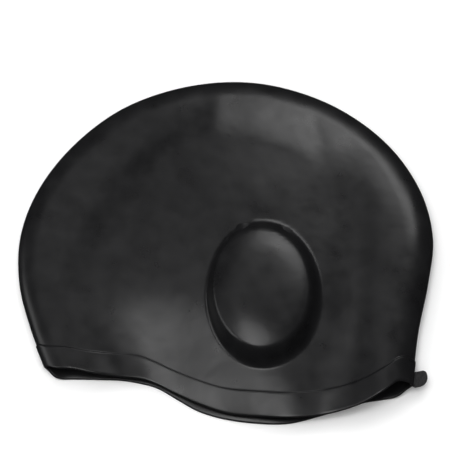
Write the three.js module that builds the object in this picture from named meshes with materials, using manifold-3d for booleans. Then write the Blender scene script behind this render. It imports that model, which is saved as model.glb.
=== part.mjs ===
// Moulded silicone swim cap with ear pockets, lying on its side on a flat surface.
// X runs from the forehead edge to the nape edge, Y from the rim to the crown, Z up from the surface.
// Millimetres throughout.

import * as THREE from 'three';
import { mergeVertices } from 'three/addons/utils/BufferGeometryUtils.js';
import Module from 'manifold-3d';

// Size of the lying cap, walls and rim band.
const CAP_WIDTH = 228;
const CAP_HEIGHT = 203;
const SHEET = 1;
const BAND_HEIGHT = 12.5;
const BAND_PROUD = 0.6;
const LEDGE_RUN = 1.2;

// Inner radius of the fold between the sheets at three places. ROLL_WIDER is how much wider than high
// it is, ROLL_SLOPE how many radii in the sheets stand fully apart, and ROLL_FROM the share of the
// height above which the side's radius blends to the crown's.
const FRONT_ROLL = 4.5;
const BACK_ROLL = 8;
const CROWN_ROLL = 5.5;
const ROLL_WIDER = 2;
const ROLL_SLOPE = 6;
const ROLL_FROM = 0.4;

// Rise of the upper sheet over the lower one, the mouth between the two rims, how far the rims hang,
// and how far from the rim the mouth's height gives way to the upper sheet's rise.
const LOFT = 17;
const MOUTH_GAP = 13;
const RIM_DROP = 24;
const LIP_REACH = 62;

// Ear pockets: an oval foot, a steep wall and a domed crown whose smaller oval stands off the foot's
// middle. Its edge is level, so the wall is tallest towards the rim. The lower pocket is pressed flat,
// and the sheet around it stays lifted out to LIFT_SHARE times the foot's size.
const POCKET_WIDTH = 64;
const POCKET_LENGTH = 85;
const POCKET_ACROSS = 0.0935;
const POCKET_UP = 0.34;
const POCKET_PRESSED = 3.5;
const LIFT_SHARE = 1.7;
const CROWN_WIDTH = 51;
const CROWN_LENGTH = 70;
const CROWN_ASIDE = -2;
const CROWN_ABOVE = 1;
const CROWN_EDGE = 23.4;
const CROWN_DOME = 3.2;
const APEX_ACROSS = -4;
const APEX_UP = -3;

// Pull tab at the nape end of the rim. Its axis leaves the fold TAB_SEAT from the fold's end, turned to
// the crown, and the tab is rolled about it, in radians. Its root slants to follow the fold, which
// holds it out to TAB_HELD from the axis on the rim's side, where its free corner is the rounder one.
const TAB_LENGTH = 8.3;
const TAB_WIDTH = 8.5;
const TAB_THICKNESS = 1.6;
const TAB_CORNER = 2.2;
const TAB_RIM_CORNER = 5.4;
const TAB_SEAT = 3.2;
const TAB_ABOVE = 7;
const TAB_ROOT = 1.2;
const TAB_HELD = 2.4;
const TAB_NECK = 0.4;
const TAB_SLANT = 0.34;
const TAB_ROLL = 0.1;
const TAB_TURN = 0.2;
const TAB_ARC_STEPS = 6;

// Mesh counts, and how much closer the columns and rows stand at the pockets.
const COLUMNS = 74;
const BODY_ROWS = 33;
const FOLD_SAMPLES = 600;
const COLUMN_CROWDING = 1.1;
const ROW_CROWDING = 0.09;

// The fold seen from above, from the forehead end of the rim over the crown to the nape end.
// across is a share of CAP_WIDTH from its middle, up a share of CAP_HEIGHT from the rim's lowest point.
const FOLD = [
  { across: -0.427, up: 0.149 },
  { across: -0.464, up: 0.258 },
  { across: -0.495, up: 0.39 },
  { across: -0.496, up: 0.533 },
  { across: -0.455, up: 0.673 },
  { across: -0.368, up: 0.812 },
  { across: -0.245, up: 0.925 },
  { across: -0.08, up: 0.992 },
  { across: 0.088, up: 0.998 },
  { across: 0.263, up: 0.931 },
  { across: 0.398, up: 0.809 },
  { across: 0.477, up: 0.661 },
  { across: 0.503, up: 0.517 },
  { across: 0.488, up: 0.386 },
  { across: 0.46, up: 0.242 },
  { across: 0.441, up: 0.092 },
];

// The rims from the forehead end (at 0) to the nape end (at 1). upper and lower are how far each
// rim hangs below the straight line between the ends, as shares of RIM_DROP, and gap is the clear
// height between them as a share of MOUTH_GAP.
const RIM = [
  { at: 0, upper: 0, lower: 0, gap: 0.6 },
  { at: 0.03, upper: 0.07, lower: 0.17, gap: 0.6 },
  { at: 0.08, upper: 0.09, lower: 0.16, gap: 0.6 },
  { at: 0.14, upper: 0.15, lower: 0.14, gap: 0.52 },
  { at: 0.21, upper: 0.14, lower: 0.13, gap: 0.3 },
  { at: 0.27, upper: 0.15, lower: 0.19, gap: 0.18 },
  { at: 0.31, upper: 0.25, lower: 0.28, gap: 0.12 },
  { at: 0.36, upper: 0.44, lower: 0.51, gap: 0.08 },
  { at: 0.42, upper: 0.64, lower: 0.77, gap: 0.08 },
  { at: 0.5, upper: 0.84, lower: 0.93, gap: 0.12 },
  { at: 0.6, upper: 0.91, lower: 0.98, gap: 0.34 },
  { at: 0.67, upper: 0.92, lower: 0.93, gap: 0.46 },
  { at: 0.76, upper: 0.8, lower: 0.69, gap: 0.42 },
  { at: 0.86, upper: 0.56, lower: 0.37, gap: 0.56 },
  { at: 0.92, upper: 0.28, lower: 0.25, gap: 0.92 },
  { at: 0.96, upper: 0.02, lower: 0.18, gap: 1.12 },
  { at: 1, upper: 0, lower: 0, gap: 1.16 },
];

// Clear height under the upper sheet as a share of LOFT, a row for each level above the rim.
const RISE_ACROSS = [-0.36, -0.15, 0.07, 0.3, 0.43];
const RISE = [
  { up: 0.12, front: 0.56, frontMid: 0.44, ear: 0.66, backMid: 0.6, back: 0.96 },
  { up: 0.36, front: 0.58, frontMid: 0.66, ear: 0.88, backMid: 0.76, back: 0.98 },
  { up: 0.62, front: 0.62, frontMid: 0.82, ear: 0.98, backMid: 0.8, back: 0.98 },
  { up: 0.86, front: 0.66, frontMid: 0.8, ear: 0.9, backMid: 0.86, back: 0.84 },
];

// Soft creases (negative) and ridges (positive) of the upper sheet. turn is in degrees from +X,
// reach the half length, spread the half width and height its depth, all in shares of LOFT.
const CREASES = [
  { across: 0.218, up: 0.87, turn: 98, reach: 1.4, spread: 0.36, height: -0.06 },
  { across: -0.021, up: 0.93, turn: 88, reach: 1.2, spread: 0.45, height: 0.05 },
  { across: 0.31, up: 0.16, turn: 88, reach: 4.2, spread: 0.6, height: -0.08 },
  { across: 0.365, up: 0.2, turn: 88, reach: 4.2, spread: 0.45, height: 0.03 },
  { across: 0.42, up: 0.27, turn: 85, reach: 1.4, spread: 0.3, height: 0.05 },
  { across: -0.395, up: 0.5, turn: 78, reach: 1.8, spread: 0.8, height: -0.08 },
  { across: -0.3, up: 0.66, turn: 55, reach: 2.2, spread: 0.7, height: -0.07 },
  { across: -0.18, up: 0.8, turn: 30, reach: 1.5, spread: 0.6, height: -0.06 },
];

const clamp01 = (x) => Math.min(1, Math.max(0, x));
const smooth = (x) => clamp01(x) ** 2 * (3 - 2 * clamp01(x));
const mix = (a, b, t) => a + (b - a) * t;

// Smooth curve through the rows of a table, level at both ends: the value of one column at a key.
function columnAt(rows, key, column, x) {
  const last = rows.length - 1;
  let i = 0;
  while (i < last - 1 && x > rows[i + 1][key]) i += 1;
  const value = (k) => rows[k][column];
  const place = (k) => rows[k][key];
  const isEnd = (k) => k === 0 || k === last;
  const slope = (k) => (isEnd(k) ? 0 : (value(k + 1) - value(k - 1)) / (place(k + 1) - place(k - 1)));
  const span = place(i + 1) - place(i);
  const t = clamp01((x - place(i)) / span);
  const h1 = 2 * t ** 3 - 3 * t ** 2 + 1;
  const h2 = t ** 3 - 2 * t ** 2 + t;
  const h3 = t ** 3 - t ** 2;
  return h1 * value(i) + h2 * span * slope(i) + (1 - h1) * value(i + 1) + h3 * span * slope(i + 1);
}

// The fold as a curve, with a straight run past each end so that distances stay even at the rim.
const foldCurve = new THREE.CatmullRomCurve3(
  FOLD.map((row) => new THREE.Vector3(row.across * CAP_WIDTH, row.up * CAP_HEIGHT, 0)),
  false,
  'centripetal',
);
foldCurve.arcLengthDivisions = FOLD_SAMPLES;
const foldPoints = foldCurve.getSpacedPoints(FOLD_SAMPLES);
const foldLength = foldCurve.getLength();
const crownAt = foldPoints.reduce((best, p, i) => (p.y > foldPoints[best].y ? i : best), 0) / FOLD_SAMPLES;
const beyond = (end, inner) => end.clone().add(end.clone().sub(inner).setLength(2 * RIM_DROP));
const foldLine = [
  beyond(foldPoints[0], foldPoints[1]),
  ...foldPoints,
  beyond(foldPoints[FOLD_SAMPLES], foldPoints[FOLD_SAMPLES - 1]),
];

function distanceToFold(x, y) {
  let nearest = Infinity;
  for (let i = 0; i + 1 < foldLine.length; i += 1) {
    const a = foldLine[i];
    const b = foldLine[i + 1];
    const dx = b.x - a.x;
    const dy = b.y - a.y;
    const t = clamp01(((x - a.x) * dx + (y - a.y) * dy) / (dx * dx + dy * dy));
    nearest = Math.min(nearest, Math.hypot(x - a.x - t * dx, y - a.y - t * dy));
  }
  return nearest;
}

// Distance from the middle of an ear pocket's oval foot, which is 1 along the foot.
function footShare(x, y) {
  const px = x - POCKET_ACROSS * CAP_WIDTH;
  const py = y - POCKET_UP * CAP_HEIGHT;
  return Math.hypot(px / (POCKET_WIDTH / 2), py / (POCKET_LENGTH / 2));
}

// The same for the smaller oval of the pocket's crown.
function crownShare(x, y) {
  const px = x - POCKET_ACROSS * CAP_WIDTH - CROWN_ASIDE;
  const py = y - POCKET_UP * CAP_HEIGHT - CROWN_ABOVE;
  return Math.hypot(px / (CROWN_WIDTH / 2), py / (CROWN_LENGTH / 2));
}

// 0 outside the foot, 1 over the crown, and a smooth rise between the two ovals.
function pocketWall(x, y) {
  const fromFoot = Math.max(0, 1 - footShare(x, y));
  const fromCrown = Math.max(0, crownShare(x, y) - 1);
  return smooth(fromFoot / (fromFoot + fromCrown + 1e-9));
}

// Height of the crown over its edge, with the apex moved off the middle.
function crownDome(x, y) {
  const lean = smooth(1 - crownShare(x, y));
  const shifted = crownShare(x - APEX_ACROSS * lean, y - APEX_UP * lean);
  return CROWN_DOME * (1 - Math.min(1, shifted) ** 3);
}

// Half the height of the fold's section: a side radius near the rim, blended to the crown's.
function rollHeight(x, y) {
  const side = mix(FRONT_ROLL, BACK_ROLL, clamp01(x / CAP_WIDTH + 0.5));
  return SHEET + mix(side, CROWN_ROLL, smooth((y / CAP_HEIGHT - ROLL_FROM) / (1 - ROLL_FROM)));
}

// How far the rim band stands out from the plain sheet.
const bandProud = (fromRim) => BAND_PROUD * (1 - smooth((fromRim - BAND_HEIGHT) / LEDGE_RUN));

// Height of the upper sheet above the floor, away from the fold and the rim.
function bodyHeight(x, y) {
  const levels = RISE.map((row) => {
    const values = [row.front, row.frontMid, row.ear, row.backMid, row.back];
    const stations = values.map((value, i) => ({ across: RISE_ACROSS[i], value }));
    return { up: row.up, value: columnAt(stations, 'across', 'value', x / CAP_WIDTH) };
  });
  return 2 * SHEET + LOFT * columnAt(levels, 'up', 'value', y / CAP_HEIGHT);
}

function creaseHeight(x, y) {
  let height = 0;
  for (const crease of CREASES) {
    const turn = THREE.MathUtils.degToRad(crease.turn);
    const dx = (x - crease.across * CAP_WIDTH) / LOFT;
    const dy = (y - crease.up * CAP_HEIGHT) / LOFT;
    const along = (dx * Math.cos(turn) + dy * Math.sin(turn)) / crease.reach;
    const aside = (dy * Math.cos(turn) - dx * Math.sin(turn)) / crease.spread;
    height += crease.height * LOFT * Math.exp(-along * along - aside * aside);
  }
  return height;
}

// Point of the plain outer surface. around turns from the forehead fold (0) over the upper sheet
// to the nape fold (half) and back under the lower sheet; up runs from the rim (0) to the crown (1).
function surfacePoint(around, up) {
  const angle = 2 * Math.PI * around;
  const across = (1 - Math.cos(angle)) / 2;
  const isUpper = Math.sin(angle) >= 0;
  const front = foldCurve.getPointAt(up * crownAt);
  const back = foldCurve.getPointAt(1 - up * (1 - crownAt));
  const hang = RIM_DROP * columnAt(RIM, 'at', isUpper ? 'upper' : 'lower', across);
  const x = mix(front.x, back.x, across);
  const y = mix(front.y, back.y, across) - hang * (1 - smooth(up));

  const depth = distanceToFold(x, y);
  const radius = rollHeight(x, y);
  const turnIn = 1 - Math.min(1, depth / (ROLL_WIDER * radius));
  const roll = radius * Math.sqrt(1 - turnIn * turnIn);
  const wall = pocketWall(x, y);
  const fromRim = up * foldLength / 2;

  if (!isUpper) {
    const aroundFoot = 1 - smooth((footShare(x, y) - 1) / (LIFT_SHARE - 1));
    const lift = POCKET_PRESSED * Math.min(aroundFoot, 1 - wall);
    const inside = smooth(depth / (2 * radius));
    return new THREE.Vector3(x, y, radius - roll + lift * inside + bandProud(fromRim));
  }
  const lip = 2 * SHEET + 2 * BAND_PROUD + MOUTH_GAP * columnAt(RIM, 'at', 'gap', across);
  const settle = 1 - (1 - Math.min(1, fromRim / LIP_REACH)) ** 2;
  const body = bodyHeight(x, y) + creaseHeight(x, y);
  const inside = smooth(depth / (ROLL_SLOPE * radius));
  const sheet = radius + roll + inside * (mix(lip, body, settle) - 2 * radius);
  return new THREE.Vector3(x, y, mix(sheet, CROWN_EDGE + crownDome(x, y), wall));
}

// Column and row places, closer together where the ear pockets stand.
function columnPlaces() {
  const half = COLUMNS / 2;
  const middle = POCKET_ACROSS + 0.5;
  const spread = POCKET_WIDTH / CAP_WIDTH;
  const density = (across) => 1 + COLUMN_CROWDING * Math.exp(-(((across - middle) / spread) ** 2));
  const steps = 400;
  const sums = [0];
  for (let i = 0; i < steps; i += 1) {
    sums.push(sums[i] + density((1 - Math.cos(Math.PI * (i + 0.5) / steps)) / 2));
  }
  const places = [];
  for (let k = 0; k < half; k += 1) {
    const wanted = sums[steps] * k / half;
    let i = 0;
    while (sums[i + 1] < wanted) i += 1;
    places.push((i + (wanted - sums[i]) / (sums[i + 1] - sums[i])) / steps / 2);
  }
  return [...places, ...[0, ...places.slice(1).reverse().map((p) => 0.5 - p)].map((p) => 0.5 + p)];
}

function rowPlaces() {
  const band = [0, 0.5 * BAND_HEIGHT, BAND_HEIGHT, BAND_HEIGHT + LEDGE_RUN].map((d) => 2 * d / foldLength);
  const start = band[band.length - 1];
  const rows = [];
  for (let k = 1; k < BODY_ROWS; k += 1) {
    const t = k / BODY_ROWS;
    rows.push(start + (1 - start) * (t - ROW_CROWDING * Math.sin(2 * Math.PI * t)));
  }
  return [...band, ...rows];
}

// Closed shell between an outer and an inner grid of points, each with one point at the crown.
function shellGeometry() {
  const columns = columnPlaces();
  const rows = rowPlaces();
  const grid = rows.map((up) => columns.map((around) => surfacePoint(around, up)));
  const crown = surfacePoint(0, 1);
  const wrap = (i) => (i + COLUMNS) % COLUMNS;

  const normalAt = (j, i) => {
    const up = j + 1 < rows.length ? grid[j + 1][i] : crown;
    const down = grid[Math.max(0, j - 1)][i];
    const side = grid[j][wrap(i + 1)].clone().sub(grid[j][wrap(i - 1)]);
    return side.cross(up.clone().sub(down)).normalize();
  };
  const outer = [];
  const inner = [];
  rows.forEach((up, j) => {
    const proud = bandProud(up * foldLength / 2);
    for (let i = 0; i < COLUMNS; i += 1) {
      const normal = normalAt(j, i);
      outer.push(grid[j][i].clone().addScaledVector(normal, proud));
      inner.push(grid[j][i].clone().addScaledVector(normal, -SHEET));
    }
  });
  outer.push(crown);
  inner.push(crown.clone().add(new THREE.Vector3(0, -SHEET, 0)));

  // Each four-sided cell is split along its shorter diagonal, which follows the pocket walls.
  const tip = rows.length * COLUMNS;
  const faces = [];
  const skin = (base, turned) => {
    const add = (a, b, c) => {
      const corners = turned ? [a, c, b] : [a, b, c];
      faces.push(...corners.map((corner) => corner + base));
    };
    for (let j = 0; j < rows.length; j += 1) {
      for (let i = 0; i < COLUMNS; i += 1) {
        const a = j * COLUMNS + i;
        const b = j * COLUMNS + wrap(i + 1);
        const c = b + COLUMNS;
        const d = a + COLUMNS;
        if (j + 1 === rows.length) {
          add(a, b, tip);
        } else if (outer[a].distanceTo(outer[c]) < outer[b].distanceTo(outer[d])) {
          add(a, b, c);
          add(a, c, d);
        } else {
          add(a, b, d);
          add(b, c, d);
        }
      }
    }
  };
  skin(0, false);
  skin(outer.length, true);
  for (let i = 0; i < COLUMNS; i += 1) {
    const a = i;
    const b = wrap(i + 1);
    faces.push(a, a + outer.length, b + outer.length, a, b + outer.length, b);
  }
  const geometry = new THREE.BufferGeometry();
  const places = [...outer, ...inner].flatMap((p) => [p.x, p.y, p.z]);
  geometry.setAttribute('position', new THREE.Float32BufferAttribute(places, 3));
  geometry.setIndex(faces);
  return geometry;
}

// Flat tongue that leaves the fold at the nape end of the rim, its free corners rounded.
function tabGeometry() {
  const outline = new THREE.Shape();
  const half = TAB_WIDTH / 2;
  const slant = Math.tan(TAB_SLANT);
  outline.moveTo(-TAB_ROOT - TAB_HELD * slant, -TAB_HELD);
  outline.lineTo(TAB_NECK, -half);
  outline.lineTo(TAB_LENGTH - TAB_RIM_CORNER, -half);
  outline.absarc(TAB_LENGTH - TAB_RIM_CORNER, TAB_RIM_CORNER - half, TAB_RIM_CORNER, -Math.PI / 2, 0, false);
  outline.absarc(TAB_LENGTH - TAB_CORNER, half - TAB_CORNER, TAB_CORNER, 0, Math.PI / 2, false);
  outline.lineTo(half * slant - TAB_ROOT, half);
  outline.closePath();
  const options = { depth: TAB_THICKNESS, bevelEnabled: false, curveSegments: TAB_ARC_STEPS };
  const geometry = new THREE.ExtrudeGeometry(outline, options);
  const root = foldCurve.getPointAt(1 - TAB_SEAT / foldLength);
  geometry.translate(0, 0, -TAB_THICKNESS / 2);
  geometry.rotateX(TAB_ROLL);
  geometry.rotateZ(TAB_TURN);
  geometry.translate(root.x, root.y, TAB_ABOVE);
  return geometry;
}

const wasm = await Module();
wasm.setup();

function toSolid(geometry) {
  const bare = geometry.clone();
  bare.deleteAttribute('normal');
  bare.deleteAttribute('uv');
  const merged = mergeVertices(bare, 1e-4);
  return new wasm.Manifold(new wasm.Mesh({
    numProp: 3,
    vertProperties: new Float32Array(merged.attributes.position.array),
    triVerts: new Uint32Array(merged.index.array),
  }));
}

function toGeometry(solid) {
  const mesh = solid.getMesh();
  const geometry = new THREE.BufferGeometry();
  geometry.setAttribute('position', new THREE.BufferAttribute(mesh.vertProperties, 3));
  geometry.setIndex(new THREE.BufferAttribute(mesh.triVerts, 1));
  geometry.computeVertexNormals();
  return geometry;
}

const shell = toGeometry(toSolid(shellGeometry()).add(toSolid(tabGeometry())));
shell.computeBoundingBox();
const middle = shell.boundingBox.getCenter(new THREE.Vector3());
shell.translate(-middle.x, -middle.y, -shell.boundingBox.min.z);

const silicone = new THREE.MeshStandardMaterial({ color: 0x1b1b1c, roughness: 0.42, metalness: 0 });
const capShell = new THREE.Mesh(shell, silicone);
capShell.name = 'cap_shell';

const swimCap = new THREE.Group();
swimCap.add(capShell);

export default swimCap;
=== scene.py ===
"""Moulded silicone swim cap with ear pockets, lying on its side on a pale floor.

The shell is one surface of two parameters. around turns from the forehead fold over the upper sheet to
the nape fold and back under the lower sheet. up runs from the rim to the crown. Lengths are in
millimetres until a mesh is written.
"""

import math

import bpy
import numpy as np
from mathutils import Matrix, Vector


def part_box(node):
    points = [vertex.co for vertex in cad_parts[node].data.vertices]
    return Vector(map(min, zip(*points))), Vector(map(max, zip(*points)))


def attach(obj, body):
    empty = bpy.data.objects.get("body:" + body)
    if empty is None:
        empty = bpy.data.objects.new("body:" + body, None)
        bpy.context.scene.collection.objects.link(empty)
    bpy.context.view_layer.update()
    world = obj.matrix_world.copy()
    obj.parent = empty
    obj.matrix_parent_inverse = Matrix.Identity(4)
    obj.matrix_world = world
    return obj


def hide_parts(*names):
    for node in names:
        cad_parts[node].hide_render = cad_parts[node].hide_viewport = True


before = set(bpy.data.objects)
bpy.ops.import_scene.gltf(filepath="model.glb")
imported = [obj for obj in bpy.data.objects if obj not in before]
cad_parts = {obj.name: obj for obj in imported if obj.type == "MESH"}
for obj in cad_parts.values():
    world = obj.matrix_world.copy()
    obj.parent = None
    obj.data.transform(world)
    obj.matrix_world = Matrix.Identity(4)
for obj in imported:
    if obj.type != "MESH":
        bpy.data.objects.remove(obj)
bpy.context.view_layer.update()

MM = 0.001

# Each size from here to TAB_TURN is the same as the solid's.

# Size of the lying cap, walls and rim band.
CAP_WIDTH = 228.0
CAP_HEIGHT = 203.0
SHEET = 1.0
BAND_HEIGHT = 12.5
BAND_PROUD = 0.6
LEDGE_RUN = 1.2

# Inner radius of the fold between the sheets at three places. ROLL_WIDER is how much wider than high it
# is, ROLL_SLOPE how many radii in the sheets stand fully apart, and ROLL_FROM the share of the height
# above which the side's radius blends to the crown's.
FRONT_ROLL = 4.5
BACK_ROLL = 8.0
CROWN_ROLL = 5.5
ROLL_WIDER = 2.0
ROLL_SLOPE = 6.0
ROLL_FROM = 0.4

# Rise of the upper sheet over the lower one, the mouth between the two rims, how far the rims hang, and
# how far from the rim the mouth's height gives way to the upper sheet's rise.
LOFT = 17.0
MOUTH_GAP = 13.0
RIM_DROP = 24.0
LIP_REACH = 62.0

# Ear pockets: an oval foot, a steep wall and a domed crown whose smaller oval stands off the foot's
# middle. The crown's edge is level, so the wall is tallest towards the rim. The lower pocket is pressed
# flat, and the sheet around it stays lifted out to LIFT_SHARE times the foot's size.
POCKET_WIDTH = 64.0
POCKET_LENGTH = 85.0
POCKET_ACROSS = 0.0935
POCKET_UP = 0.34
POCKET_PRESSED = 3.5
LIFT_SHARE = 1.7
CROWN_WIDTH = 51.0
CROWN_LENGTH = 70.0
CROWN_ASIDE = -2.0
CROWN_ABOVE = 1.0
CROWN_EDGE = 23.4
CROWN_DOME = 3.2
APEX_ACROSS = -4.0
APEX_UP = -3.0

# Pull tab at the nape end of the rim. Its axis leaves the fold TAB_SEAT from the fold's end, turned to
# the crown, and the tab is rolled about it, in radians. Its root slants to follow the fold, which holds
# it out to TAB_HELD from the axis on the rim's side, where its free corner is the rounder one.
TAB_LENGTH = 8.3
TAB_WIDTH = 8.5
TAB_THICKNESS = 1.6
TAB_CORNER = 2.2
TAB_RIM_CORNER = 5.4
TAB_SEAT = 3.2
TAB_ABOVE = 7.0
TAB_ROOT = 1.2
TAB_HELD = 2.4
TAB_NECK = 0.4
TAB_SLANT = 0.34
TAB_ROLL = 0.1
TAB_TURN = 0.2

# Radius along the tab's edges, which are sharp on the solid.
TAB_EDGE = 0.5

# Mesh counts: columns over the upper and under the lower sheet, and rows up to the crown. The inner
# surface has one row in INNER_STEP. The crowdings say how much closer columns and rows stand at the
# pockets.
UPPER_COLUMNS = 280
LOWER_COLUMNS = 100
BAND_ROWS = 16
LEDGE_ROWS = 8
BODY_ROWS = 170
INNER_STEP = 4
LIP_ROWS = 5
TAB_STEPS = 24
TAB_RINGS = 6
TAB_EDGE_ROWS = 12
COLUMN_CROWDING = 1.4
ROW_CROWDING = 0.09
FOLD_SAMPLES = 600
FOLD_STEPS = 60
CROWDING_STEPS = 400

# TINY keeps a divisor above 0. SINE_ROUNDING is how far below 0 rounding may bring the sine at the two
# ends of the upper sheet.
TINY = 1e-9
SINE_ROUNDING = 1e-12

# The fold seen from above: across is a share of the width from its middle, up a share of the height.
FOLD = (
    " across   up",
    "-0.427   0.149",
    "-0.464   0.258",
    "-0.495   0.390",
    "-0.496   0.533",
    "-0.455   0.673",
    "-0.368   0.812",
    "-0.245   0.925",
    "-0.080   0.992",
    " 0.088   0.998",
    " 0.263   0.931",
    " 0.398   0.809",
    " 0.477   0.661",
    " 0.503   0.517",
    " 0.488   0.386",
    " 0.460   0.242",
    " 0.441   0.092",
)

# The rims from the forehead end to the nape end: how far the upper and the lower rim hang below the
# straight line between the ends, as shares of RIM_DROP, and the clear gap as a share of MOUTH_GAP.
RIM = (
    "at     upper   lower   gap",
    "0.00   0.00    0.00    0.60",
    "0.03   0.07    0.17    0.60",
    "0.08   0.09    0.16    0.60",
    "0.14   0.15    0.14    0.52",
    "0.21   0.14    0.13    0.30",
    "0.27   0.15    0.19    0.18",
    "0.31   0.25    0.28    0.12",
    "0.36   0.44    0.51    0.08",
    "0.42   0.64    0.77    0.08",
    "0.50   0.84    0.93    0.12",
    "0.60   0.91    0.98    0.34",
    "0.67   0.92    0.93    0.46",
    "0.76   0.80    0.69    0.42",
    "0.86   0.56    0.37    0.56",
    "0.92   0.28    0.25    0.92",
    "0.96   0.02    0.18    1.12",
    "1.00   0.00    0.00    1.16",
)

# Clear height under the upper sheet as a share of LOFT, at five places across and four levels up.
RISE_ACROSS = (-0.36, -0.15, 0.07, 0.30, 0.43)
RISE = (
    "up     front   front_mid   ear    back_mid   back",
    "0.12   0.56    0.44        0.66   0.60       0.96",
    "0.36   0.58    0.66        0.88   0.76       0.98",
    "0.62   0.62    0.82        0.98   0.80       0.98",
    "0.86   0.66    0.80        0.90   0.86       0.84",
)

# Soft creases (negative height) and ridges (positive) of the upper sheet: turn in degrees from +X,
# half length, half width and height as shares of LOFT.
CREASES = (
    "across    up     turn   reach   spread   height",
    " 0.218    0.87    98    1.4     0.36    -0.06",
    "-0.021    0.93    88    1.2     0.45     0.05",
    " 0.310    0.16    88    4.2     0.60    -0.08",
    " 0.365    0.20    88    4.2     0.45     0.03",
    " 0.420    0.27    85    1.4     0.30     0.05",
    "-0.395    0.50    78    1.8     0.80    -0.08",
    "-0.300    0.66    55    2.2     0.70    -0.07",
    "-0.180    0.80    30    1.5     0.60    -0.06",
)


def table(rows):
    """Columns of a written table as a dictionary of arrays, named by its first row."""
    names = rows[0].split()
    numbers = np.array([[float(word) for word in row.split()] for row in rows[1:]])
    return {name: numbers[:, k] for k, name in enumerate(names)}


def smooth(x):
    """Rises from 0 to 1 as x does, level at both ends: three x squared less two x cubed."""
    x = np.clip(x, 0, 1)
    return x * x * (3 - 2 * x)


def mix(a, b, t):
    """a where t is 0, b where t is 1, and evenly between."""
    return a + (b - a) * t


def curve_through(places, values, x):
    """Smooth curve through the values: a cubic between each two places, whose slope at a place is that
    of the line between its neighbours, and level at both ends."""
    slopes = np.zeros_like(values)
    slopes[1:-1] = (values[2:] - values[:-2]) / (places[2:] - places[:-2])
    i = np.clip(np.searchsorted(places, x) - 1, 0, len(places) - 2)
    span = places[i + 1] - places[i]
    t = np.clip((x - places[i]) / span, 0, 1)
    from_last = 2 * t ** 3 - 3 * t ** 2 + 1
    leave = (t ** 3 - 2 * t ** 2 + t) * span * slopes[i]
    arrive = (t ** 3 - t ** 2) * span * slopes[i + 1]
    return from_last * values[i] + leave + (1 - from_last) * values[i + 1] + arrive


def fold_line():
    """The fold seen from above, at even steps of length: a centripetal Catmull-Rom curve through the
    table's points, whose knots are the square roots of the distances between them."""
    rows = table(FOLD)
    points = np.stack([rows["across"] * CAP_WIDTH, rows["up"] * CAP_HEIGHT], axis=1)
    points = np.vstack([2 * points[:1] - points[1:2], points, 2 * points[-1:] - points[-2:-1]])
    knots = np.sqrt(np.linalg.norm(np.diff(points, axis=0), axis=1))[:, None]
    a, b, c, d = points[:-3], points[1:-2], points[2:-1], points[3:]
    before, own, after = knots[:-2], knots[1:-1], knots[2:]
    leave = ((b - a) / before - (c - a) / (before + own) + (c - b) / own) * own
    arrive = ((c - b) / own - (d - b) / (own + after) + (d - c) / after) * own
    t = np.linspace(0, 1, FOLD_STEPS, endpoint=False)[:, None, None]
    h = 2 * t ** 3 - 3 * t ** 2 + 1
    fine = h * b + (t ** 3 - 2 * t ** 2 + t) * leave + (1 - h) * c + (t ** 3 - t ** 2) * arrive
    fine = np.vstack([fine.transpose(1, 0, 2).reshape(-1, 2), points[-2]])
    lengths = np.r_[0, np.cumsum(np.linalg.norm(np.diff(fine, axis=0), axis=1))]
    even = np.linspace(0, lengths[-1], FOLD_SAMPLES + 1)
    return np.stack([np.interp(even, lengths, fine[:, k]) for k in (0, 1)], axis=1), lengths[-1]


FOLD_LINE, FOLD_LENGTH = fold_line()
CROWN_AT = FOLD_LINE[:, 1].argmax() / FOLD_SAMPLES


def fold_at(share):
    """Point of the fold at a share of its length, as separate x and y."""
    steps = np.linspace(0, 1, FOLD_SAMPLES + 1)
    return np.interp(share, steps, FOLD_LINE[:, 0]), np.interp(share, steps, FOLD_LINE[:, 1])


def distance_to_fold(x, y):
    """Shortest distance in the plan to the fold, which runs on straight past both its ends."""
    run = 2 * RIM_DROP
    first, last = FOLD_LINE[0], FOLD_LINE[-1]
    start = first + run * (first - FOLD_LINE[1]) / np.linalg.norm(first - FOLD_LINE[1])
    end = last + run * (last - FOLD_LINE[-2]) / np.linalg.norm(last - FOLD_LINE[-2])
    line = np.vstack([start, FOLD_LINE, end])
    nearest = np.full(x.shape, np.inf)
    for a, b in zip(line[:-1], line[1:]):
        step = b - a
        t = np.clip(((x - a[0]) * step[0] + (y - a[1]) * step[1]) / (step @ step), 0, 1)
        nearest = np.minimum(nearest, np.hypot(x - a[0] - t * step[0], y - a[1] - t * step[1]))
    return nearest


def foot_share(x, y):
    """Distance from the middle of an ear pocket's oval foot, which is 1 along the foot."""
    px = x - POCKET_ACROSS * CAP_WIDTH
    py = y - POCKET_UP * CAP_HEIGHT
    return np.hypot(px / (POCKET_WIDTH / 2), py / (POCKET_LENGTH / 2))


def crown_share(x, y):
    """The same for the smaller oval of the pocket's crown, which stands off the foot's middle."""
    px = x - POCKET_ACROSS * CAP_WIDTH - CROWN_ASIDE
    py = y - POCKET_UP * CAP_HEIGHT - CROWN_ABOVE
    return np.hypot(px / (CROWN_WIDTH / 2), py / (CROWN_LENGTH / 2))


def pocket_wall(x, y):
    """0 outside the foot, 1 over the crown, and a smooth rise with the place between the two ovals."""
    from_foot = np.maximum(0, 1 - foot_share(x, y))
    from_crown = np.maximum(0, crown_share(x, y) - 1)
    return smooth(from_foot / (from_foot + from_crown + TINY))


def crown_dome(x, y):
    """Height of the crown over its edge: one less the cube of the distance in the oval, whose contours
    move towards an apex off the middle."""
    lean = smooth(1 - crown_share(x, y))
    shifted = crown_share(x - APEX_ACROSS * lean, y - APEX_UP * lean)
    return CROWN_DOME * (1 - np.minimum(1, shifted) ** 3)


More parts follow.
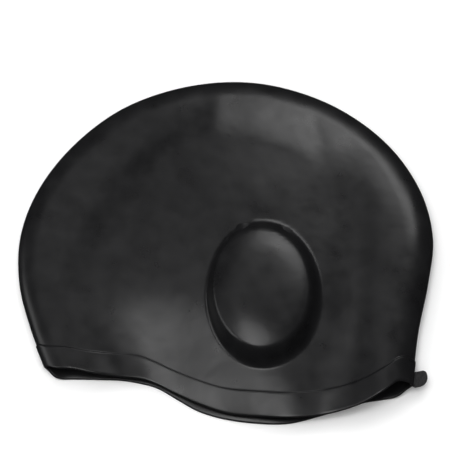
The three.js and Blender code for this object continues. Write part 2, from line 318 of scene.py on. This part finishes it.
def roll_height(x, y):
    """Half the height of the fold's section, from three radii blended over the plan."""
    side = mix(FRONT_ROLL, BACK_ROLL, np.clip(x / CAP_WIDTH + 0.5, 0, 1))
    return SHEET + mix(side, CROWN_ROLL, smooth((y / CAP_HEIGHT - ROLL_FROM) / (1 - ROLL_FROM)))


def band_proud(from_rim):
    """How far the rim band stands out from the plain sheet, ending in a short ledge."""
    return BAND_PROUD * (1 - smooth((from_rim - BAND_HEIGHT) / LEDGE_RUN))


def body_height(x, y):
    """Height of the upper sheet away from the fold and the rim: a smooth surface through the table."""
    rows = table(RISE)
    across = np.array(RISE_ACROSS)
    names = [name for name in rows if name != "up"]
    height = np.zeros_like(x)
    for k in range(len(rows["up"])):
        level = curve_through(across, np.array([rows[name][k] for name in names]), x / CAP_WIDTH)
        weight = curve_through(rows["up"], np.eye(len(rows["up"]))[k], y / CAP_HEIGHT)
        height += weight * level
    return 2 * SHEET + LOFT * height


def crease_height(x, y):
    """Sum of long bell-shaped ridges and hollows, one for each row of the table."""
    rows = table(CREASES)
    height = np.zeros_like(x)
    for across, up, turn, reach, spread, rise in zip(*rows.values()):
        turn = math.radians(turn)
        dx = (x - across * CAP_WIDTH) / LOFT
        dy = (y - up * CAP_HEIGHT) / LOFT
        along = (dx * math.cos(turn) + dy * math.sin(turn)) / reach
        aside = (dy * math.cos(turn) - dx * math.sin(turn)) / spread
        height += rise * LOFT * np.exp(-along ** 2 - aside ** 2)
    return height


def shell_surface(around, up):
    """Plain outer surface, without the band. In the plan a row is the straight line between its two
    points of the fold, sunk towards the rim by the rim's own sag. The height is a quarter circle over
    the distance to the fold, then the body's height above, the floor below, and the ear pockets."""
    angle = 2 * np.pi * around
    across = (1 - np.cos(angle)) / 2
    upper = np.sin(angle) >= -SINE_ROUNDING
    front_x, front_y = fold_at(up * CROWN_AT)
    back_x, back_y = fold_at(1 - up * (1 - CROWN_AT))
    rim = table(RIM)
    hang = np.where(
        upper,
        curve_through(rim["at"], rim["upper"], across),
        curve_through(rim["at"], rim["lower"], across),
    )
    x = mix(front_x, back_x, across)
    y = mix(front_y, back_y, across) - RIM_DROP * hang * (1 - smooth(up))

    depth = distance_to_fold(x, y)
    radius = roll_height(x, y)
    roll = radius * np.sqrt(1 - (1 - np.minimum(1, depth / (ROLL_WIDER * radius))) ** 2)
    wall = pocket_wall(x, y)
    from_rim = up * FOLD_LENGTH / 2

    around_foot = 1 - smooth((foot_share(x, y) - 1) / (LIFT_SHARE - 1))
    lift = POCKET_PRESSED * np.minimum(around_foot, 1 - wall)
    lower_z = radius - roll + lift * smooth(depth / (2 * radius)) + band_proud(from_rim)

    gap = curve_through(rim["at"], rim["gap"], across)
    lip = 2 * SHEET + 2 * BAND_PROUD + MOUTH_GAP * gap
    settle = 1 - (1 - np.minimum(1, from_rim / LIP_REACH)) ** 2
    body = body_height(x, y) + crease_height(x, y)
    inside = smooth(depth / (ROLL_SLOPE * radius))
    sheet = radius + roll + inside * (mix(lip, body, settle) - 2 * radius)
    upper_z = mix(sheet, CROWN_EDGE + crown_dome(x, y), wall)
    return np.stack([x, y, np.where(upper, upper_z, lower_z)], axis=-1)


def column_places():
    """Places around the opening, closer together over the pocket: even steps of a summed density."""
    def half(count, crowding):
        t = (np.arange(CROWDING_STEPS) + 0.5) / CROWDING_STEPS
        spread = POCKET_WIDTH / CAP_WIDTH
        offset = ((1 - np.cos(np.pi * t)) / 2 - POCKET_ACROSS - 0.5) / spread
        sums = np.r_[0, np.cumsum(1 + crowding * np.exp(-offset ** 2))]
        places = np.linspace(0, 0.5, CROWDING_STEPS + 1)
        return np.interp(np.arange(count) / count * sums[-1], sums, places)

    upper = half(UPPER_COLUMNS, COLUMN_CROWDING)
    lower = 1 - half(LOWER_COLUMNS, 0)
    return np.r_[upper, 0.5, lower[:0:-1]]


def row_places():
    """Places from the rim to just short of the crown: even in the band and its ledge, then closer
    together at the height of the pockets."""
    half_length = FOLD_LENGTH / 2
    band = np.linspace(0, BAND_HEIGHT, BAND_ROWS, endpoint=False) / half_length
    start = (BAND_HEIGHT + LEDGE_RUN) / half_length
    ledge = np.linspace(BAND_HEIGHT / half_length, start, LEDGE_ROWS, endpoint=False)
    t = np.arange(BODY_ROWS) / BODY_ROWS
    body = start + (1 - start) * (t - ROW_CROWDING * np.sin(2 * np.pi * t))
    return np.r_[band, ledge, body]


def rotation(angle, axis):
    """Matrix that turns points by an angle in radians about one axis: 0 for X, 2 for Z."""
    a, b = [k for k in range(3) if k != axis]
    matrix = np.eye(3)
    matrix[a, a] = matrix[b, b] = math.cos(angle)
    matrix[b, a] = math.sin(angle)
    matrix[a, b] = -matrix[b, a]
    return matrix


def mesh_piece(name, points, faces, material):
    """Writes points in millimetres and faces into a smooth mesh object at the origin."""
    mesh = bpy.data.meshes.new(name)
    mesh.from_pydata((points * MM).tolist(), [], faces)
    mesh.shade_smooth()
    mesh.materials.append(material)
    piece = bpy.data.objects.new(name, mesh)
    bpy.context.scene.collection.objects.link(piece)
    return piece


def closed_faces(rows, columns):
    """Faces over a grid of points whose columns close on themselves, and a fan at each end. The tips of
    the fans are the two points that follow the grid's own: the first row's tip, then the last row's."""
    j, i = np.meshgrid(np.arange(rows - 1), np.arange(columns), indexing="ij")
    here, beside = j * columns + i, j * columns + (i + 1) % columns
    quads = np.stack([here, beside, beside + columns, here + columns], axis=-1).reshape(-1, 4)
    ring = np.arange(columns)
    after = (ring + 1) % columns
    tip = np.full(columns, rows * columns)
    last = (rows - 1) * columns
    fans = np.vstack([
        np.stack([after, ring, tip], axis=1),
        np.stack([last + ring, last + after, tip + 1], axis=1),
    ])
    return quads.tolist() + fans.tolist()


def cap_shell(material):
    """The cap's wall: the outer surface, a round lip at the rim, and the inner surface a sheet's
    thickness below. Both surfaces are closed by a fan at the crown."""
    around = column_places()
    up = row_places()
    columns = len(around)
    plain = shell_surface(around[None, :], up[:, None] + 0 * around[None, :])
    crown = shell_surface(np.zeros(1), np.ones(1))[0]
    higher = np.vstack([plain[1:], np.broadcast_to(crown, (1, columns, 3))])
    lower = np.vstack([plain[:1], plain[:-1]])
    side = np.roll(plain, -1, axis=1) - np.roll(plain, 1, axis=1)
    normal = np.cross(side, higher - lower)
    normal /= np.linalg.norm(normal, axis=-1, keepdims=True)
    outer = plain + normal * band_proud(up * FOLD_LENGTH / 2)[:, None, None]

    inner_rows = np.r_[0:BAND_ROWS + LEDGE_ROWS:INNER_STEP, BAND_ROWS + LEDGE_ROWS:len(up):INNER_STEP]
    inner = (plain - normal * SHEET)[inner_rows[::-1]]
    half = (SHEET + BAND_PROUD) / 2
    centre = (outer[0] + inner[-1]) / 2
    outward = plain[0] - plain[1]
    outward -= normal[0] * (outward * normal[0]).sum(axis=-1, keepdims=True)
    outward /= np.linalg.norm(outward, axis=-1, keepdims=True)
    turn = np.pi * np.arange(1, LIP_ROWS + 1)[:, None, None] / (LIP_ROWS + 1)
    lip = centre + half * (-np.cos(turn) * normal[0] + np.sin(turn) * outward)

    grid = np.concatenate([inner, lip, outer])
    points = np.vstack([grid.reshape(-1, 3), crown + [0, -SHEET, 0], crown])
    return mesh_piece("silicone_cap", points, closed_faces(len(grid), columns), material)


def tab_outline():
    """Outline of the tab in its own plan, along X from its root: straight edges in even steps, an arc at
    each free corner, and a root that slants to follow the fold."""
    half = TAB_WIDTH / 2
    slant = math.tan(TAB_SLANT)
    step = np.arange(TAB_STEPS)[:, None] / TAB_STEPS

    def arc(radius, side, start):
        angle = math.radians(start) + step * np.pi / 2
        middle = [TAB_LENGTH - radius, side * (half - radius)]
        return middle + radius * np.hstack([np.cos(angle), np.sin(angle)])

    def line(start, end):
        return np.array(start) + step * (np.array(end) - start)

    held = (-TAB_ROOT - TAB_HELD * slant, -TAB_HELD)
    neck = (TAB_NECK, -half)
    root_high = (half * slant - TAB_ROOT, half)
    return np.vstack([
        line(held, neck),
        line(neck, (TAB_LENGTH - TAB_RIM_CORNER, -half)),
        arc(TAB_RIM_CORNER, -1, -90),
        line((TAB_LENGTH, TAB_RIM_CORNER - half), (TAB_LENGTH, half - TAB_CORNER)),
        arc(TAB_CORNER, 1, 0),
        line((TAB_LENGTH - TAB_CORNER, half), root_high),
        line(root_high, held),
    ])


def pull_tab(material):
    """The tab: its outline swept over a section with quarter-round edges, whose rings draw in to the
    middle on both faces, rolled about its length, turned, and set on the fold."""
    plan = tab_outline()
    along = np.roll(plan, -1, axis=0) - np.roll(plan, 1, axis=0)
    inward = np.stack([-along[:, 1], along[:, 0]], axis=1) / np.linalg.norm(along, axis=1)[:, None]
    turn = np.linspace(-np.pi / 2, np.pi / 2, TAB_EDGE_ROWS)[:, None]
    edge = plan + inward * (TAB_EDGE * (1 - np.cos(turn)))[..., None]
    height = np.sign(turn) * (TAB_THICKNESS / 2 - TAB_EDGE) + TAB_EDGE * np.sin(turn)
    middle = plan.mean(axis=0)
    draw = np.linspace(0, 1, TAB_RINGS, endpoint=False)[1:, None, None]
    face = middle + draw * (edge[-1] - middle)
    layers = np.concatenate([face, edge, face[::-1]])
    flat = np.full((TAB_RINGS - 1, 1), TAB_THICKNESS / 2)
    heights = np.vstack([-flat, height, flat]) + 0 * layers[..., 0]
    grid = np.concatenate([layers, heights[..., None]], axis=-1)
    tips = np.array([[*middle, -TAB_THICKNESS / 2], [*middle, TAB_THICKNESS / 2]])
    points = np.vstack([grid.reshape(-1, 3), tips])

    points = points @ rotation(TAB_ROLL, 0).T @ rotation(TAB_TURN, 2).T
    root_x, root_y = fold_at(1 - TAB_SEAT / FOLD_LENGTH)
    points += [float(root_x), float(root_y), TAB_ABOVE]

    return mesh_piece("pull_tab", points, closed_faces(*grid.shape[:2]), material)


# The rubber: its IOR, the size of the bloom's patches, the span of the noise that they take up, the
# tones and roughnesses that they run between, and how wide and deep the sheet's unevenness is.
RUBBER_IOR = 1.43
BLOOM_SIZE = 11.0
BLOOM_SPAN = (0.2, 0.8)
BLOOM_TONES = ("#0e0e0f", "#181819")
BLOOM_ROUGHNESS = (0.25, 0.36)
SWELL_SIZE = 16.0
SWELL_DEPTH = 0.2

# The tab's rubber: its tone and roughness, and the size and depth of its grain, which is drawn coarser
# and deeper than a real one so that it shows in the render.
TAB_TONE = "#1d1d1e"
TAB_ROUGHNESS = 0.5
GRAIN_SIZE = 1.4286
GRAIN_DEPTH = 1.2


def hex_colour(text):
    """sRGB hex to the linear colour that a shader takes."""
    srgb = np.array([int(text[k:k + 2], 16) / 255 for k in (1, 3, 5)])
    linear = np.where(srgb <= 0.04045, srgb / 12.92, ((srgb + 0.055) / 1.055) ** 2.4)
    return (*linear.tolist(), 1.0)


def add(tree, kind, settings=None, inputs=None):
    """Adds one shader node. settings are its options; inputs are values, or sockets to link from."""
    node = tree.nodes.new(kind)
    for name, value in (settings or {}).items():
        setattr(node, name, value)
    for name, value in (inputs or {}).items():
        if isinstance(value, bpy.types.NodeSocket):
            tree.links.new(value, node.inputs[name])
        else:
            node.inputs[name].default_value = value
    return node


def moulded_silicone():
    """Pigmented silicone rubber from a fine-blasted mould: near black, with a satin sheen, a faint cloudy
    bloom where it was powdered and handled, and the slight unevenness of a thin sheet lying loose."""
    material = bpy.data.materials.new("moulded_silicone")
    material.use_nodes = True
    tree = material.node_tree
    tree.nodes.clear()
    place = add(tree, "ShaderNodeTexCoord")
    spot = place.outputs["Object"]
    haze = add(tree, "ShaderNodeTexNoise", None, {
        "Vector": spot, "Scale": 1 / (BLOOM_SIZE * MM), "Detail": 4.0,
    })
    bloom = add(tree, "ShaderNodeMapRange", None, {
        "Value": haze.outputs["Fac"], "From Min": BLOOM_SPAN[0], "From Max": BLOOM_SPAN[1],
    })
    gloss = add(tree, "ShaderNodeMapRange", None, {
        "Value": bloom.outputs["Result"], "To Min": BLOOM_ROUGHNESS[0], "To Max": BLOOM_ROUGHNESS[1],
    })
    tone = add(tree, "ShaderNodeValToRGB", None, {"Fac": bloom.outputs["Result"]})
    for stop, text in zip(tone.color_ramp.elements, BLOOM_TONES):
        stop.color = hex_colour(text)
    sag = add(tree, "ShaderNodeTexNoise", None, {
        "Vector": spot, "Scale": 1 / (SWELL_SIZE * MM), "Detail": 2.0,
    })
    swell = add(tree, "ShaderNodeBump", None, {
        "Height": sag.outputs["Fac"], "Distance": SWELL_DEPTH * MM,
    })
    shader = add(tree, "ShaderNodeBsdfPrincipled", None, {
        "Base Color": tone.outputs["Color"], "IOR": RUBBER_IOR, "Roughness": gloss.outputs["Result"],
        "Normal": swell.outputs["Normal"],
    })
    add(tree, "ShaderNodeOutputMaterial", None, {"Surface": shader.outputs["BSDF"]})
    return material


def trimmed_silicone():
    """The same rubber where it was trimmed and handled: a little paler, dull and finely rough."""
    material = bpy.data.materials.new("trimmed_silicone")
    material.use_nodes = True
    tree = material.node_tree
    tree.nodes.clear()
    place = add(tree, "ShaderNodeTexCoord")
    grain = add(tree, "ShaderNodeTexNoise", None, {
        "Vector": place.outputs["Object"], "Scale": 1 / (GRAIN_SIZE * MM), "Detail": 4.0,
    })
    rough = add(tree, "ShaderNodeBump", None, {
        "Height": grain.outputs["Fac"], "Distance": GRAIN_DEPTH * MM,
    })
    shader = add(tree, "ShaderNodeBsdfPrincipled", None, {
        "Base Color": hex_colour(TAB_TONE), "IOR": RUBBER_IOR, "Roughness": TAB_ROUGHNESS,
        "Normal": rough.outputs["Normal"],
    })
    add(tree, "ShaderNodeOutputMaterial", None, {"Surface": shader.outputs["BSDF"]})
    return material


# The floor's half width, tone and roughness, and the strength of the white light from all around.
FLOOR_REACH = 3000.0
FLOOR_TONE = "#f4f4f4"
FLOOR_ROUGHNESS = 0.9
SURROUND_STRENGTH = 0.03


def plain_floor():
    """Wide matt floor in a pale neutral tone."""
    material = bpy.data.materials.new("matt_floor")
    material.use_nodes = True
    shader = material.node_tree.nodes["Principled BSDF"]
    shader.inputs["Base Color"].default_value = hex_colour(FLOOR_TONE)
    shader.inputs["Roughness"].default_value = FLOOR_ROUGHNESS
    reach = FLOOR_REACH
    corners = np.array([[-reach, -reach, 0], [reach, -reach, 0], [reach, reach, 0], [-reach, reach, 0]])
    floor = mesh_piece("floor", corners, [(0, 1, 2, 3)], material)
    floor.visible_glossy = False


def soft_light(name, azimuth, elevation, distance, size, power, is_fill=False):
    """Area light that faces the cap from an azimuth (0 in front, 90 to the right). A fill light brightens
    matt surfaces and isn't mirrored by glossy ones."""
    light = bpy.data.lights.new(name, "AREA")
    light.shape = "RECTANGLE"
    light.size, light.size_y = size
    light.energy = power
    turn, tilt = math.radians(azimuth), math.radians(elevation)
    lamp = bpy.data.objects.new(name, light)
    lamp.location = (
        distance * math.cos(tilt) * math.sin(turn),
        -distance * math.cos(tilt) * math.cos(turn),
        distance * math.sin(tilt),
    )
    lamp.rotation_euler = (math.pi / 2 - tilt, 0, turn)
    lamp.visible_glossy = not is_fill
    bpy.context.scene.collection.objects.link(lamp)


def studio():
    """Even white surroundings, and soft lights above and beside the cap. Each light has its azimuth and
    elevation in degrees, its distance and size in metres and its power in watts."""
    world = bpy.data.worlds.new("studio")
    world.use_nodes = True
    background = world.node_tree.nodes["Background"]
    background.inputs["Color"].default_value = (1, 1, 1, 1)
    background.inputs["Strength"].default_value = SURROUND_STRENGTH
    scene = bpy.context.scene
    scene.world = world
    scene.view_settings.view_transform = "Standard"
    soft_light("fill_back_left", -140, 60, 1.5, (1.6, 1.6), 13, is_fill=True)
    soft_light("fill_front", 20, 60, 1.5, (1.6, 1.6), 13, is_fill=True)
    soft_light("light_above", -150, 66, 1.5, (0.75, 0.5), 0.36)
    soft_light("light_over_rim", -36, 80, 1.3, (0.42, 0.5), 4.4)
    soft_light("light_back_right", 157, 46, 1.3, (0.75, 0.35), 4.1)
    soft_light("light_left", -85, 28, 1.3, (0.9, 0.4), 2.5)
    soft_light("light_front_left", -68, 46, 1.3, (0.3, 0.25), 1.5)


# The camera looks down along +Y at the photograph's angle, through a long lens.
CAMERA_TILT = 65.0
LENS = 200.0
SENSOR = 36.0
VIEW_WIDTH = 249.0
VIEW_MIDDLE = (-0.4, 12.4, 8.0)


def camera():
    """Camera on the line that rises from the view's middle towards the front."""
    tilt = math.radians(CAMERA_TILT)
    distance = VIEW_WIDTH * MM * LENS / SENSOR
    data = bpy.data.cameras.new("camera")
    data.lens = LENS
    data.sensor_width = SENSOR
    data.clip_end = 20
    eye = bpy.data.objects.new("camera", data)
    middle = [value * MM for value in VIEW_MIDDLE]
    away, above = distance * math.cos(tilt), distance * math.sin(tilt)
    eye.location = (middle[0], middle[1] - away, middle[2] + above)
    eye.rotation_euler = (math.pi / 2 - tilt, 0, 0)
    bpy.context.scene.collection.objects.link(eye)
    bpy.context.scene.camera = eye


def vertices_of(piece):
    """Places of a piece's vertices in metres."""
    points = np.zeros(len(piece.data.vertices) * 3)
    piece.data.vertices.foreach_get("co", points)
    return points.reshape(-1, 3)


def seat(pieces):
    """Moves pieces from their own plan into the frame of the solid that they stand for. The first one
    spans the solid's plan and lies on the floor."""
    low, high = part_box("cap_shell")
    points = vertices_of(pieces[0])
    middle = np.array([(low.x + high.x) / 2, (low.y + high.y) / 2, low.z])
    own = np.array([*(points.min(0)[:2] + points.max(0)[:2]) / 2, points.min(0)[2]])
    for piece in pieces:
        piece.data.vertices.foreach_set("co", (vertices_of(piece) + middle - own).ravel())
        piece.data.update()


camera()
studio()
plain_floor()
cap = cap_shell(moulded_silicone())
tab = pull_tab(trimmed_silicone())
seat([cap, tab])
for piece in (cap, tab):
    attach(piece, "root")
    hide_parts("cap_shell")
